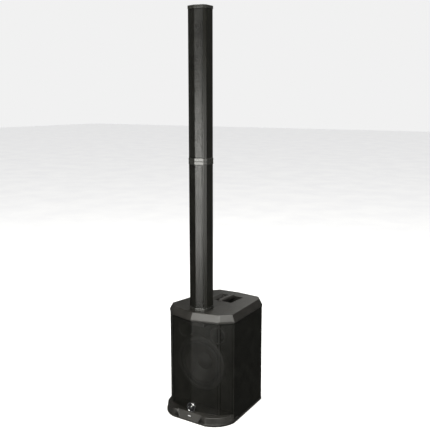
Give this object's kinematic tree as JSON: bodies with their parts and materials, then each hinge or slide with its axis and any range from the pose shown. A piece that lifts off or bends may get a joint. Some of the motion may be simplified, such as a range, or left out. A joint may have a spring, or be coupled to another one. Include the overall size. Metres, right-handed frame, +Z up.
{
  "type": "column pa system",
  "caption": "Powered subwoofer with a V-shaped perforated front and a slim two-section loudspeaker column that plugs into its top.",
  "frame": {"origin": "middle of the footprint on the floor", "axes": "+Z up, front towards -Y, +X to the right of someone facing the front"},
  "size_m": [0.3954, 0.484, 2],
  "materials": {
    "cabinet_paint": "textured black paint on plywood",
    "moulded_plastic": "fine moulded grain",
    "grille_steel": "powder-coated perforated steel",
    "basket_steel": "black painted pressed steel",
    "badge_chrome": "polished rim on a black field",
    "light_lens": "clear lens, lit white",
    "foot_rubber": "moulded rubber",
    "surround_rubber": "soft rubber roll",
    "cone_paper": "coated paper",
    "spider_cloth": "resin-stiffened cloth",
    "coil_copper": "copper wire on a former",
    "magnet_ferrite": "ferrite between plated plates",
    "contact_brass": "gold-plated contacts",
    "panel_aluminium": "black anodised",
    "heat_sink_aluminium": "black anodised fins",
    "circuit_board": "solder mask with components",
    "knob_plastic": "soft-touch plastic with a white pointer",
    "socket_plastic": "moulded nylon",
    "column_aluminium": "powder-coated aluminium extrusion",
    "collar_plastic": "fine moulded grain",
    "loom_sleeve": "sleeved cable"
  },
  "bodies": {
    "subwoofer": {"cabinet_shell": "cabinet_paint", "front_baffle": "cabinet_paint", "top_cap": "moulded_plastic", "base_moulding": "moulded_plastic", "port_tube_right": "moulded_plastic", "port_tube_left": "moulded_plastic", "woofer_trim_ring": "moulded_plastic", "front_grille": "grille_steel", "woofer_basket": "basket_steel", "front_badge": "badge_chrome", "power_light_lens": "light_lens", "rubber_foot_front_right": "foot_rubber", "rubber_foot_front_left": "foot_rubber", "rubber_foot_rear_right": "foot_rubber", "rubber_foot_rear_left": "foot_rubber", "woofer_surround": "surround_rubber", "woofer_spider": "spider_cloth", "woofer_magnet": "magnet_ferrite", "column_socket_contacts": "contact_brass", "amp_panel": "panel_aluminium", "heat_sink": "heat_sink_aluminium", "amplifier_board": "circuit_board", "control_board": "circuit_board", "power_supply": "circuit_board", "power_light_board": "circuit_board", "channel_1_input_socket": "socket_plastic", "channel_2_input_socket": "socket_plastic", "link_output_socket": "socket_plastic", "mains_inlet": "socket_plastic", "mains_switch_frame": "socket_plastic"},
    "woofer_diaphragm": {"woofer_cone": "cone_paper", "woofer_dust_cap": "cone_paper", "woofer_voice_coil": "coil_copper"},
    "lower_column": {"lower_column_grille": "grille_steel", "lower_column_contacts": "contact_brass", "lower_column_shell": "column_aluminium", "lower_column_foot": "collar_plastic", "lower_column_head": "collar_plastic", "lower_column_plug": "collar_plastic", "lower_column_loom": "loom_sleeve"},
    "upper_column": {"upper_column_grille": "grille_steel", "upper_column_shell": "column_aluminium", "upper_column_foot": "collar_plastic", "upper_column_cap": "collar_plastic", "upper_column_plug": "collar_plastic", "upper_column_baffle": "collar_plastic", "column_driver_1": "cone_paper", "column_driver_2": "cone_paper", "column_driver_3": "cone_paper", "column_driver_4": "cone_paper", "column_driver_5": "cone_paper", "column_driver_6": "cone_paper", "column_driver_7": "cone_paper", "column_driver_8": "cone_paper"},
    "channel_1_control": {"channel_1_knob": "knob_plastic"},
    "channel_2_control": {"channel_2_knob": "knob_plastic"},
    "bass_control": {"bass_knob": "knob_plastic"},
    "master_control": {"master_knob": "knob_plastic"},
    "mode_button": {"mode_button": "knob_plastic"},
    "mains_rocker": {"mains_switch_rocker": "socket_plastic"}
  },
  "joints": [
    {"name": "lower_column_lift", "type": "slide", "parent": "subwoofer", "child": "lower_column", "axis": [0, 0, 1], "range_m": [0, 0.09]},
    {"name": "upper_column_lift", "type": "slide", "parent": "lower_column", "child": "upper_column", "axis": [0, 0, 1], "range_m": [0, 0.09]},
    {"name": "woofer_travel", "type": "slide", "parent": "subwoofer", "child": "woofer_diaphragm", "axis": [0, -1, 0], "range_m": [-0.006, 0.006], "stiffness_N_per_m": 3000, "deforming": ["woofer_surround", "woofer_spider"]},
    {"name": "channel_1_turn", "type": "hinge", "parent": "subwoofer", "child": "channel_1_control", "pos_m": [0.069, 0.229, 0.316], "axis": [0, 1, 0], "range_deg": [-150, 150]},
    {"name": "channel_2_turn", "type": "hinge", "parent": "subwoofer", "child": "channel_2_control", "pos_m": [0.023, 0.229, 0.316], "axis": [0, 1, 0], "range_deg": [-150, 150]},
    {"name": "bass_turn", "type": "hinge", "parent": "subwoofer", "child": "bass_control", "pos_m": [-0.023, 0.229, 0.316], "axis": [0, 1, 0], "range_deg": [-150, 150]},
    {"name": "master_turn", "type": "hinge", "parent": "subwoofer", "child": "master_control", "pos_m": [-0.069, 0.229, 0.316], "axis": [0, 1, 0], "range_deg": [-150, 150]},
    {"name": "mode_button_press", "type": "slide", "parent": "subwoofer", "child": "mode_button", "axis": [0, -1, 0], "range_m": [0, 0.0015], "stiffness_N_per_m": 500, "springref_m": -0.001},
    {"name": "mains_switch_rock", "type": "hinge", "parent": "subwoofer", "child": "mains_rocker", "pos_m": [0.034, 0.2275, 0.132], "axis": [1, 0, 0], "range_deg": [-18, 0]}
  ]
}
